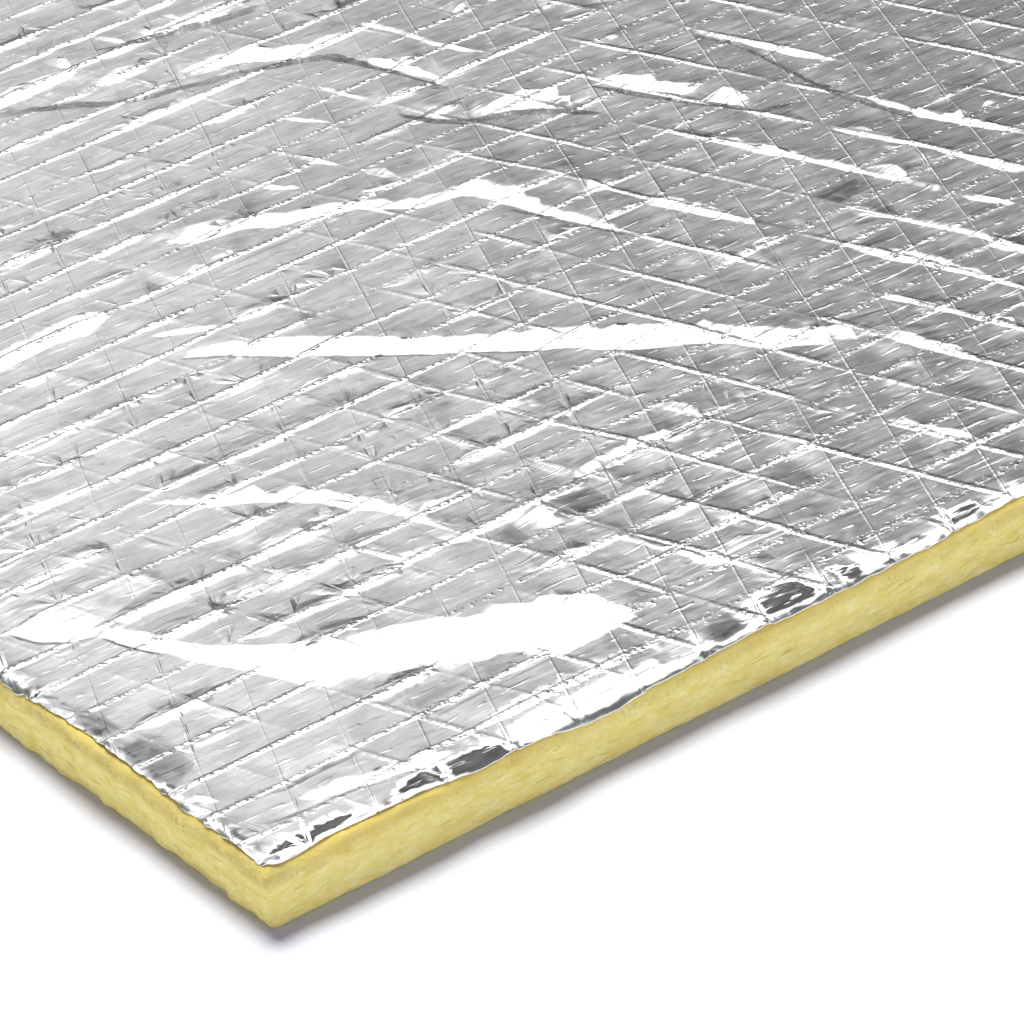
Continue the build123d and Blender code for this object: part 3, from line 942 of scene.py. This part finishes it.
def build_fibres():
    """Loose strands that stand out from the cut faces of the wool."""
    r = np.random.default_rng(77)
    loop, ways, along, side = rounded_loop(0.0, CORNER, 1.35)
    m = len(loop)
    count = 5200
    i = r.integers(0, m, count)
    weight = np.choose(side[i], [0.75, 1.0, 0.75, 1.0])
    keep = r.uniform(size=count) < weight
    i = i[keep]
    count = len(i)
    zfrac = r.beta(0.9, 1.2, count)
    hem = r.uniform(size=count) < 0.22
    zfrac = np.where(hem, r.uniform(0.0, 0.08, count), zfrac)
    top_z = (TOP - shoulder_radius(along[i], side[i])) + 0.9
    z = np.clip(zfrac * top_z, 0.08, None)
    push = side_push(along[i], z, side[i])
    p = loop[i] + ways[i] * (push + 0.01)[:, None]
    tang = np.column_stack([-ways[i][:, 1], ways[i][:, 0]])
    sign = np.where(r.uniform(size=count) < 0.5, 1, -1)
    length = r.uniform(1.6, 6.5, count)
    lift = r.normal(0, 0.18, count)
    out0 = np.abs(r.normal(0.05, 0.05, count)) + np.where(side[i] == 3, 0.03, 0.0)
    curl = r.normal(0, 0.10, count)
    rad = r.uniform(0.022, 0.048, count)
    segs = 4
    verts, faces = [], []
    ring_way = [(math.cos(a), math.sin(a)) for a in (0.3, 0.3 + 2.094, 0.3 + 4.189)]
    n = 0
    for k in range(count):
        base = np.array([p[k, 0], p[k, 1], z[k]])
        T = np.array([tang[k, 0] * sign[k], tang[k, 1] * sign[k], 0.0])
        O = np.array([ways[i[k], 0], ways[i[k], 1], 0.0])
        U = np.array([0, 0, 1.0])
        for s in range(segs + 1):
            t = s / segs
            c = base + T * length[k] * t + U * (lift[k] * length[k] * t + curl[k] * length[k] * t * t) + O * (out0[k] * 4 * t * (1.15 - t))
            c[2] = max(c[2], 0.06)
            w = rad[k] * (1 - 0.6 * abs(2 * t - 1) ** 2)
            for a, b in ring_way:
                q = c + O * (a * w) + U * (b * w)
                verts.append(q)
        for s in range(segs):
            for a in range(3):
                b = (a + 1) % 3
                q0, q1, q2, q3 = n + s * 3 + a, n + s * 3 + b, n + (s + 1) * 3 + b, n + (s + 1) * 3 + a
                faces.append((q0, q1, q2))
                faces.append((q0, q2, q3))
        faces.append((n + 2, n + 1, n))
        e = n + segs * 3
        faces.append((e, e + 1, e + 2))
        n += (segs + 1) * 3
    v = np.array(verts)
    v[:, 0] = np.clip(v[:, 0], -1.8, SIDE + 1.8)
    v[:, 1] = np.clip(v[:, 1], -1.8, SIDE + 1.8)
    ob = make_mesh("glass_wool_strands", to_world(v[:, 0], v[:, 1], v[:, 2]), np.array(faces))
    print("strands:", count, "triangles", len(faces))
    return ob


# ---------------------------------------------------------------------------
# Materials
# ---------------------------------------------------------------------------
class Tree:
    """Short names for building a node tree."""

    def __init__(self, tree):
        self.t = tree
        tree.nodes.clear()

    def add(self, kind, **values):
        n = self.t.nodes.new(kind)
        for k, v in values.items():
            setattr(n, k, v)
        return n

    def link(self, a, b):
        self.t.links.new(a, b)

    def put(self, socket, value):
        if isinstance(value, bpy.types.NodeSocket):
            self.link(value, socket)
        else:
            socket.default_value = value

    def math(self, op, a, b=0.0, c=None, clamp=False):
        n = self.add("ShaderNodeMath", operation=op, use_clamp=clamp)
        self.put(n.inputs[0], a)
        self.put(n.inputs[1], b)
        if c is not None:
            self.put(n.inputs[2], c)
        return n.outputs[0]

    def range(self, v, a, b, c=0.0, d=1.0, kind="LINEAR"):
        n = self.add("ShaderNodeMapRange", interpolation_type=kind)
        self.put(n.inputs["Value"], v)
        self.put(n.inputs["From Min"], a)
        self.put(n.inputs["From Max"], b)
        self.put(n.inputs["To Min"], c)
        self.put(n.inputs["To Max"], d)
        return n.outputs["Result"]

    def scaled(self, vector, scale, turn=(0, 0, 0), move=(0, 0, 0)):
        n = self.add("ShaderNodeMapping")
        self.link(vector, n.inputs["Vector"])
        n.inputs["Scale"].default_value = scale
        n.inputs["Rotation"].default_value = turn
        n.inputs["Location"].default_value = move
        return n.outputs["Vector"]

    def noise(self, vector, scale=1.0, detail=2.0, rough=0.5, distort=0.0):
        n = self.add("ShaderNodeTexNoise")
        self.link(vector, n.inputs["Vector"])
        n.inputs["Scale"].default_value = scale
        n.inputs["Detail"].default_value = detail
        n.inputs["Roughness"].default_value = rough
        n.inputs["Distortion"].default_value = distort
        return n.outputs["Fac"]

    def flat(self, vector, long, wide, move=(0, 0, 0), detail=1.0, rough=0.5, distort=0.0):
        """Noise in the plane of the mat, with cells long by wide millimetres."""
        n = self.add("ShaderNodeTexNoise", noise_dimensions="2D")
        self.link(self.scaled(vector, (1 / long, 1 / wide, 1.0), move=move), n.inputs["Vector"])
        n.inputs["Scale"].default_value = 1.0
        n.inputs["Detail"].default_value = detail
        n.inputs["Roughness"].default_value = rough
        n.inputs["Distortion"].default_value = distort
        return n.outputs["Fac"]

    def mix(self, fac, a, b):
        n = self.add("ShaderNodeMix", data_type="RGBA")
        self.put(n.inputs[0], fac)
        self.put(n.inputs[6], a)
        self.put(n.inputs[7], b)
        return n.outputs[2]


def new_material(name):
    m = bpy.data.materials.new(name)
    m.use_nodes = True
    return m, Tree(m.node_tree)


def foil_material():
    m, t = new_material("crinkled_aluminium_foil")
    out = t.add("ShaderNodeOutputMaterial")
    sh = t.add("ShaderNodeBsdfPrincipled")
    t.link(sh.outputs[0], out.inputs[0])
    tc = t.add("ShaderNodeTexCoord")
    mm = t.scaled(tc.outputs["Object"], (1000, 1000, 1000))
    at = t.add("ShaderNodeAttribute", attribute_name="yarn")
    ph = t.add("ShaderNodeSeparateXYZ")
    t.link(at.outputs["Vector"], ph.inputs[0])
    lay, flare = [], []
    for name, out_list in (("lay", lay), ("flare", flare)):
        node = t.add("ShaderNodeAttribute", attribute_name=name)
        parts = t.add("ShaderNodeSeparateXYZ")
        t.link(node.outputs["Vector"], parts.inputs[0])
        out_list.extend(parts.outputs)
    stray = t.add("ShaderNodeAttribute", attribute_name="stray").outputs["Fac"]
    show = {"A": lay[0], "B": lay[1], "C": flare[2]}
    wrinkles = lay[2]
    pitch = {"A": 12.71, "B": PITCH_B / NORM_B, "C": PITCH_C / NORM_C}

    def offset(k, f, shift=0.0):
        """Distance from the middle of a yarn in millimetres, and 1 on its near side."""
        p = t.math("SUBTRACT", t.math("FRACT", t.math("ADD", t.math("ADD", ph.outputs[k], 0.5), shift)), 0.5)
        d = t.math("MULTIPLY", p, pitch[f])
        return t.math("ABSOLUTE", d), t.math("LESS_THAN", d, 0.0)

    def ridge(d, before, near, far):
        """0 to 1 over a yarn, wider on its near side than on its far side."""
        width = t.math("MULTIPLY_ADD", before, near - far, far)
        return t.range(t.math("DIVIDE", d, width), 1.0, 0.0, 0.0, 1.0, "SMOOTHSTEP")

    heights = []
    dist = {}
    near = {"A": 1.30, "B": 0.95, "C": 0.42}
    far = {"A": 1.05, "B": 1.50, "C": 0.45}
    rise = {"A": 0.27, "B": 0.21, "C": 0.036}
    fine = t.flat(mm, 1.8, 1.1, (9, 4, 0), 1.0, 0.6)
    bead = t.range(fine, 0.34, 0.66, 0.62, 1.25)
    crossed = t.flat(mm, 5.5, 1.5, (12, 40, 0), 1.0, 0.5)
    for k, f in enumerate("ABC"):
        d, before = offset(k, f)
        dist[f] = d
        bell = t.math("MULTIPLY", ridge(d, before, near[f], far[f]), bead)
        heights.append(t.math("MULTIPLY", bell, t.math("MULTIPLY", show[f], rise[f])))
        if f == "C":
            continue
        # where the foil stands off the yarn as a wider, shallow face
        edge = t.range(crossed, 0.30, 0.60, 0.90, 1.03)
        if f == "B":
            # these faces wander to both sides of the yarn
            d, before = offset(k, f, stray)
        wide = ridge(d, before, 4.0 if f == "A" else 3.2, 7.6 if f == "A" else 7.6)
        heights.append(t.math("MULTIPLY", t.math("MULTIPLY", wide, t.math("MULTIPLY", flare[k], edge)), 0.67 if f == "A" else 0.43))
    # broken puckers half way between the yarns along X
    d, before = offset(0, "A", 0.5)
    broken = t.range(crossed, 0.52, 0.66, 0.0, 1.0, "SMOOTHSTEP")
    heights.append(t.math("MULTIPLY", t.math("MULTIPLY", ridge(d, before, 0.95, 0.5), broken), t.math("MULTIPLY", wrinkles, 0.14)))
    # small knots of foil beside the yarns along X
    beside = t.range(dist["A"], 2.3, 0.4, 0.0, 1.0, "SMOOTHSTEP")
    heights.append(t.math("MULTIPLY", t.range(fine, 0.58, 0.76, 0.0, 1.0), t.math("MULTIPLY", t.math("MULTIPLY", beside, wrinkles), 0.13)))
    # each cell of the net sits a little up or down
    cell = t.add("ShaderNodeCombineXYZ")
    for k in range(3):
        t.link(t.math("FLOOR", ph.outputs[k]), cell.inputs[k])
    white = t.add("ShaderNodeTexWhiteNoise", noise_dimensions="3D")
    t.link(cell.outputs[0], white.inputs["Vector"])
    pillow = None
    for k in range(3):
        w = t.math("SINE", t.math("MULTIPLY", t.math("FRACT", ph.outputs[k]), math.pi))
        pillow = w if pillow is None else t.math("MULTIPLY", pillow, w)
    heights.append(t.math("MULTIPLY", pillow, t.math("MULTIPLY", wrinkles, t.range(white.outputs["Value"], 0.0, 1.0, -0.30, 0.14))))
    # wrinkles of the cells, drawn out along X
    soft = t.flat(mm, 12.0, 2.9, (7, 3, 0), 1.0, 0.55, 0.4)
    heights.append(t.math("MULTIPLY", soft, t.math("MULTIPLY", wrinkles, 0.24)))
    heights.append(t.math("MULTIPLY", crossed, t.math("MULTIPLY", wrinkles, 0.05)))
    total = heights[0]
    for h in heights[1:]:
        total = t.math("ADD", total, h)
    bump = t.add("ShaderNodeBump")
    bump.inputs["Strength"].default_value = 1.0
    bump.inputs["Distance"].default_value = 0.001
    t.link(total, bump.inputs["Height"])
    t.link(bump.outputs[0], sh.inputs["Normal"])
    tone = t.flat(mm, 9.0, 3.6, (0, 0, 0), 3.0, 0.62)
    t.link(t.mix(t.range(tone, 0.32, 0.68), (0.76, 0.765, 0.775, 1), (0.94, 0.942, 0.948, 1)), sh.inputs["Base Color"])
    smear = t.flat(mm, 12.0, 3.0, (5, 3, 0), 1.0, 0.6)
    t.link(t.range(smear, 0.3, 0.75, 0.19, 0.28), sh.inputs["Roughness"])
    sh.inputs["Metallic"].default_value = 1.0
    return m


def wool_colours(t, mm, z):
    drawn = t.scaled(mm, (1 / 4.6, 1 / 4.6, 1 / 2.4))
    cloud = t.noise(drawn, 1.0, 4.0, 0.6)
    base = t.mix(t.range(cloud, 0.32, 0.68), (0.78, 0.64, 0.155, 1), (0.88, 0.79, 0.29, 1))
    # paler flecks of fibre
    fleck = t.noise(t.scaled(mm, (1 / 2.0, 1 / 2.0, 1 / 1.1)), 1.0, 4.0, 0.62)
    base = t.mix(t.range(fleck, 0.54, 0.72, 0.0, 0.55), base, (0.90, 0.86, 0.50, 1))
    strand = t.noise(t.scaled(mm, (1 / 3.0, 1 / 3.0, 1 / 0.28)), 1.0, 2.0, 0.5)
    base = t.mix(t.range(strand, 0.58, 0.75, 0.0, 0.35), base, (0.93, 0.90, 0.58, 1))
    dark = t.noise(t.scaled(mm, (1 / 4.2, 1 / 4.2, 1 / 1.0), move=(40, 9, 3)), 1.0, 3.0, 0.6)
    base = t.mix(t.range(dark, 0.60, 0.80, 0.0, 0.30), base, (0.66, 0.50, 0.08, 1))
    # painted shade: the upper part of the cut faces, under the foil's shoulder, is mixed towards a darker orange, and
    # on the left side towards a darker one still, to offset the stronger key light falling there
    shade_below_foil = t.range(z, 7.6, 12.2, 0.0, 0.75, "SMOOTHSTEP")
    side = t.add("ShaderNodeSeparateXYZ")
    t.link(mm, side.inputs[0])
    left = t.range(side.outputs[0], -300.0, -296.0, 1.0, 0.0)
    return t.mix(shade_below_foil, base, t.mix(left, (0.72, 0.545, 0.125, 1), (0.53, 0.41, 0.11, 1)))


def wool_material():
    m, t = new_material("yellow_glass_wool")
    out = t.add("ShaderNodeOutputMaterial")
    sh = t.add("ShaderNodeBsdfPrincipled")
    t.link(sh.outputs[0], out.inputs[0])
    tc = t.add("ShaderNodeTexCoord")
    mm = t.scaled(tc.outputs["Object"], (1000, 1000, 1000))
    sep = t.add("ShaderNodeSeparateXYZ")
    t.link(mm, sep.inputs[0])
    t.link(wool_colours(t, mm, sep.outputs[2]), sh.inputs["Base Color"])
    sh.inputs["Roughness"].default_value = 0.95
    sh.inputs["Specular IOR Level"].default_value = 0.15
    h = t.math("MULTIPLY", t.noise(t.scaled(mm, (1 / 2.8, 1 / 2.8, 1 / 1.3)), 1.0, 4.0, 0.65), 0.36)
    h = t.math("ADD", h, t.math("MULTIPLY", t.noise(t.scaled(mm, (1 / 0.9, 1 / 0.9, 1 / 0.3)), 1.0, 3.0, 0.6), 0.10))
    bump = t.add("ShaderNodeBump")
    bump.inputs["Strength"].default_value = 0.8
    bump.inputs["Distance"].default_value = 0.001
    t.link(h, bump.inputs["Height"])
    t.link(bump.outputs[0], sh.inputs["Normal"])
    return m


def strand_material():
    m, t = new_material("glass_wool_strand")
    out = t.add("ShaderNodeOutputMaterial")
    sh = t.add("ShaderNodeBsdfPrincipled")
    t.link(sh.outputs[0], out.inputs[0])
    tc = t.add("ShaderNodeTexCoord")
    mm = t.scaled(tc.outputs["Object"], (1000, 1000, 1000))
    n = t.noise(t.scaled(mm, (1 / 6.0, 1 / 6.0, 1 / 2.0)), 1.0, 2.0, 0.6)
    t.link(t.mix(t.range(n, 0.35, 0.65), (0.84, 0.73, 0.24, 1), (0.92, 0.88, 0.52, 1)), sh.inputs["Base Color"])
    sh.inputs["Roughness"].default_value = 0.8
    sh.inputs["Specular IOR Level"].default_value = 0.25
    return m


def floor_material():
    m, t = new_material("pale_floor")
    out = t.add("ShaderNodeOutputMaterial")
    sh = t.add("ShaderNodeBsdfPrincipled")
    t.link(sh.outputs[0], out.inputs[0])
    sh.inputs["Base Color"].default_value = (0.62, 0.62, 0.64, 1)
    sh.inputs["Roughness"].default_value = 1.0
    sh.inputs["Specular IOR Level"].default_value = 0.0
    return m


# ---------------------------------------------------------------------------
# Light, floor, camera
# ---------------------------------------------------------------------------
BACK = Vector((0.515, 0.858, 0.0)).normalized()     # away from the camera, along the floor
RIGHT = Vector((0.858, -0.515, 0.0)).normalized()


def build_world():
    w = bpy.data.worlds.new("studio")
    bpy.context.scene.world = w
    w.use_nodes = True
    t = Tree(w.node_tree)
    out = t.add("ShaderNodeOutputWorld")
    bg = t.add("ShaderNodeBackground")
    t.link(bg.outputs[0], out.inputs[0])
    tc = t.add("ShaderNodeTexCoord")
    sep = t.add("ShaderNodeSeparateXYZ")
    t.link(tc.outputs["Generated"], sep.inputs[0])
    x, y, z = sep.outputs

    def along(v):
        return t.math("ADD", t.math("MULTIPLY", x, v.x), t.math("MULTIPLY", y, v.y))

    back, right = along(BACK), along(RIGHT)
    # behind: grey low down, white above about 38 degrees, and everything lighter to the left
    aside = t.range(t.math("SUBTRACT", right, t.range(z, 0.43, 0.58, -0.02, 0.04)), -0.085, 0.085, 0.0, 1.0, "SMOOTHSTEP")
    low_left = t.range(z, 0.40, 0.50, 0.62, 0.84)
    low_right = t.math("SUBTRACT", t.range(z, 0.28, 0.43, 0.135, 0.302), t.range(z, 0.46, 0.60, 0.0, 0.048))
    low = t.range(aside, 0.0, 1.0, low_left, low_right)
    low = t.math("SUBTRACT", low, t.range(z, 0.05, 0.22, t.range(aside, 0.0, 1.0, 0.58, 0.09), 0.0))
    level = t.range(right, -0.085, 0.085, 0.0, 1.0, "SMOOTHSTEP")
    start = t.range(level, 0.0, 1.0, 0.600, 0.675)
    end = t.range(level, 0.0, 1.0, 0.700, 0.790)
    up = t.range(z, start, end, 0.0, 1.0, "SMOOTHSTEP")
    away = t.range(right, -0.60, -0.38, 0.30, 1.0, "SMOOTHSTEP")
    behind = t.math("ADD", t.math("MULTIPLY", low, t.math("SUBTRACT", 1.0, up)), t.math("MULTIPLY", up, 2.1))
    front = t.math("SUBTRACT", t.range(z, 0.28, 0.62, 1.15, 0.16, "SMOOTHSTEP"), t.range(z, 0.80, 0.97, 0.0, 0.09))
    side = t.range(back, -0.12, 0.10, 0.0, 1.0, "SMOOTHSTEP")
    behind = t.math("MULTIPLY", behind, away)
    value = t.math("ADD", t.math("MULTIPLY", behind, side), t.math("MULTIPLY", front, t.math("SUBTRACT", 1.0, side)))
    mirrored = t.add("ShaderNodeCombineColor")
    for k in range(3):
        t.link(value, mirrored.inputs[k])
    # matt surfaces are lit by a low cool band all round, under a dim ceiling
    band = t.range(z, 0.16, 0.44, t.range(x, -0.9, 0.1, 1.75, 2.55), 0.14, "SMOOTHSTEP")
    matt = t.add("ShaderNodeVectorMath", operation="SCALE")
    matt.inputs[0].default_value = (1.0, 1.0, 1.28)
    t.link(band, matt.inputs["Scale"])
    lp = t.add("ShaderNodeLightPath")
    colour = t.mix(lp.outputs["Is Diffuse Ray"], mirrored.outputs[0], matt.outputs[0])
    colour = t.mix(lp.outputs["Is Camera Ray"], colour, (1, 1, 1, 1))
    t.link(colour, bg.inputs["Color"])
    bg.inputs["Strength"].default_value = 1.0


def add_area(name, direction, distance, size, power, colour=(1, 1, 1)):
    light = bpy.data.lights.new(name, "AREA")
    light.shape = "DISK"
    light.size = size
    light.energy = power
    light.color = colour
    ob = bpy.data.objects.new(name, light)
    d = Vector(direction).normalized()
    target = Vector((-0.15, -0.15, 0.0))
    ob.location = target + d * distance
    ob.rotation_euler = d.to_track_quat("Z", "Y").to_euler()
    ob.visible_camera = False
    ob.visible_glossy = False
    bpy.context.scene.collection.objects.link(ob)
    return ob


def direction(elevation, to_right):
    """A way up from the mat, by its elevation and how far right of straight behind, in degrees."""
    e, a = math.radians(elevation), math.radians(to_right)
    flat = BACK * math.cos(a) + RIGHT * math.sin(a)
    return flat * math.cos(e) + Vector((0, 0, math.sin(e)))


foil_mat, wool_mat, strand_mat, floor_mat = foil_material(), wool_material(), strand_material(), floor_material()

foil = build_foil()
foil.data.materials.append(foil_mat)
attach(foil, "root")
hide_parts("foil_facing")

wool = build_wool()
wool.data.materials.append(wool_mat)
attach(wool, "root")
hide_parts("glass_wool_pad")

strands = build_fibres()
strands.data.materials.append(strand_mat)
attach(strands, "root")

floor_mesh = bpy.data.meshes.new("floor")
floor_mesh.from_pydata([(-14, -14, 0), (14, -14, 0), (14, 14, 0), (-14, 14, 0)], [], [(0, 1, 2, 3)])
floor = bpy.data.objects.new("floor", floor_mesh)
floor.location.z = -0.00002
floor_mesh.materials.append(floor_mat)
bpy.context.scene.collection.objects.link(floor)

build_world()
add_area("key", direction(55.7, -3), 3.0, 1.5, 185)

cam_data = bpy.data.cameras.new("camera")
cam_data.sensor_fit = "HORIZONTAL"
cam_data.sensor_width = 36.0
cam_data.lens = 204.884
cam_data.clip_start = 0.02
cam_data.clip_end = 100.0
cam = bpy.data.objects.new("camera", cam_data)
X, Y, Z = (0.809594, -0.572990, -0.127438), (0.384397, 0.353449, 0.852827), (-0.443619, -0.739430, 0.506405)
cam.matrix_world = Matrix((
    (X[0], Y[0], Z[0], -0.733924),
    (X[1], Y[1], Z[1], -1.131351),
    (X[2], Y[2], Z[2], 0.630303),
    (0, 0, 0, 1),
))
bpy.context.scene.collection.objects.link(cam)
bpy.context.scene.camera = cam

bpy.context.scene.view_settings.view_transform = "Standard"
bpy.context.scene.view_settings.look = "None"
bpy.context.scene.view_settings.exposure = 0.0
bpy.context.scene.view_settings.gamma = 1.0

bpy.context.view_layer.update()
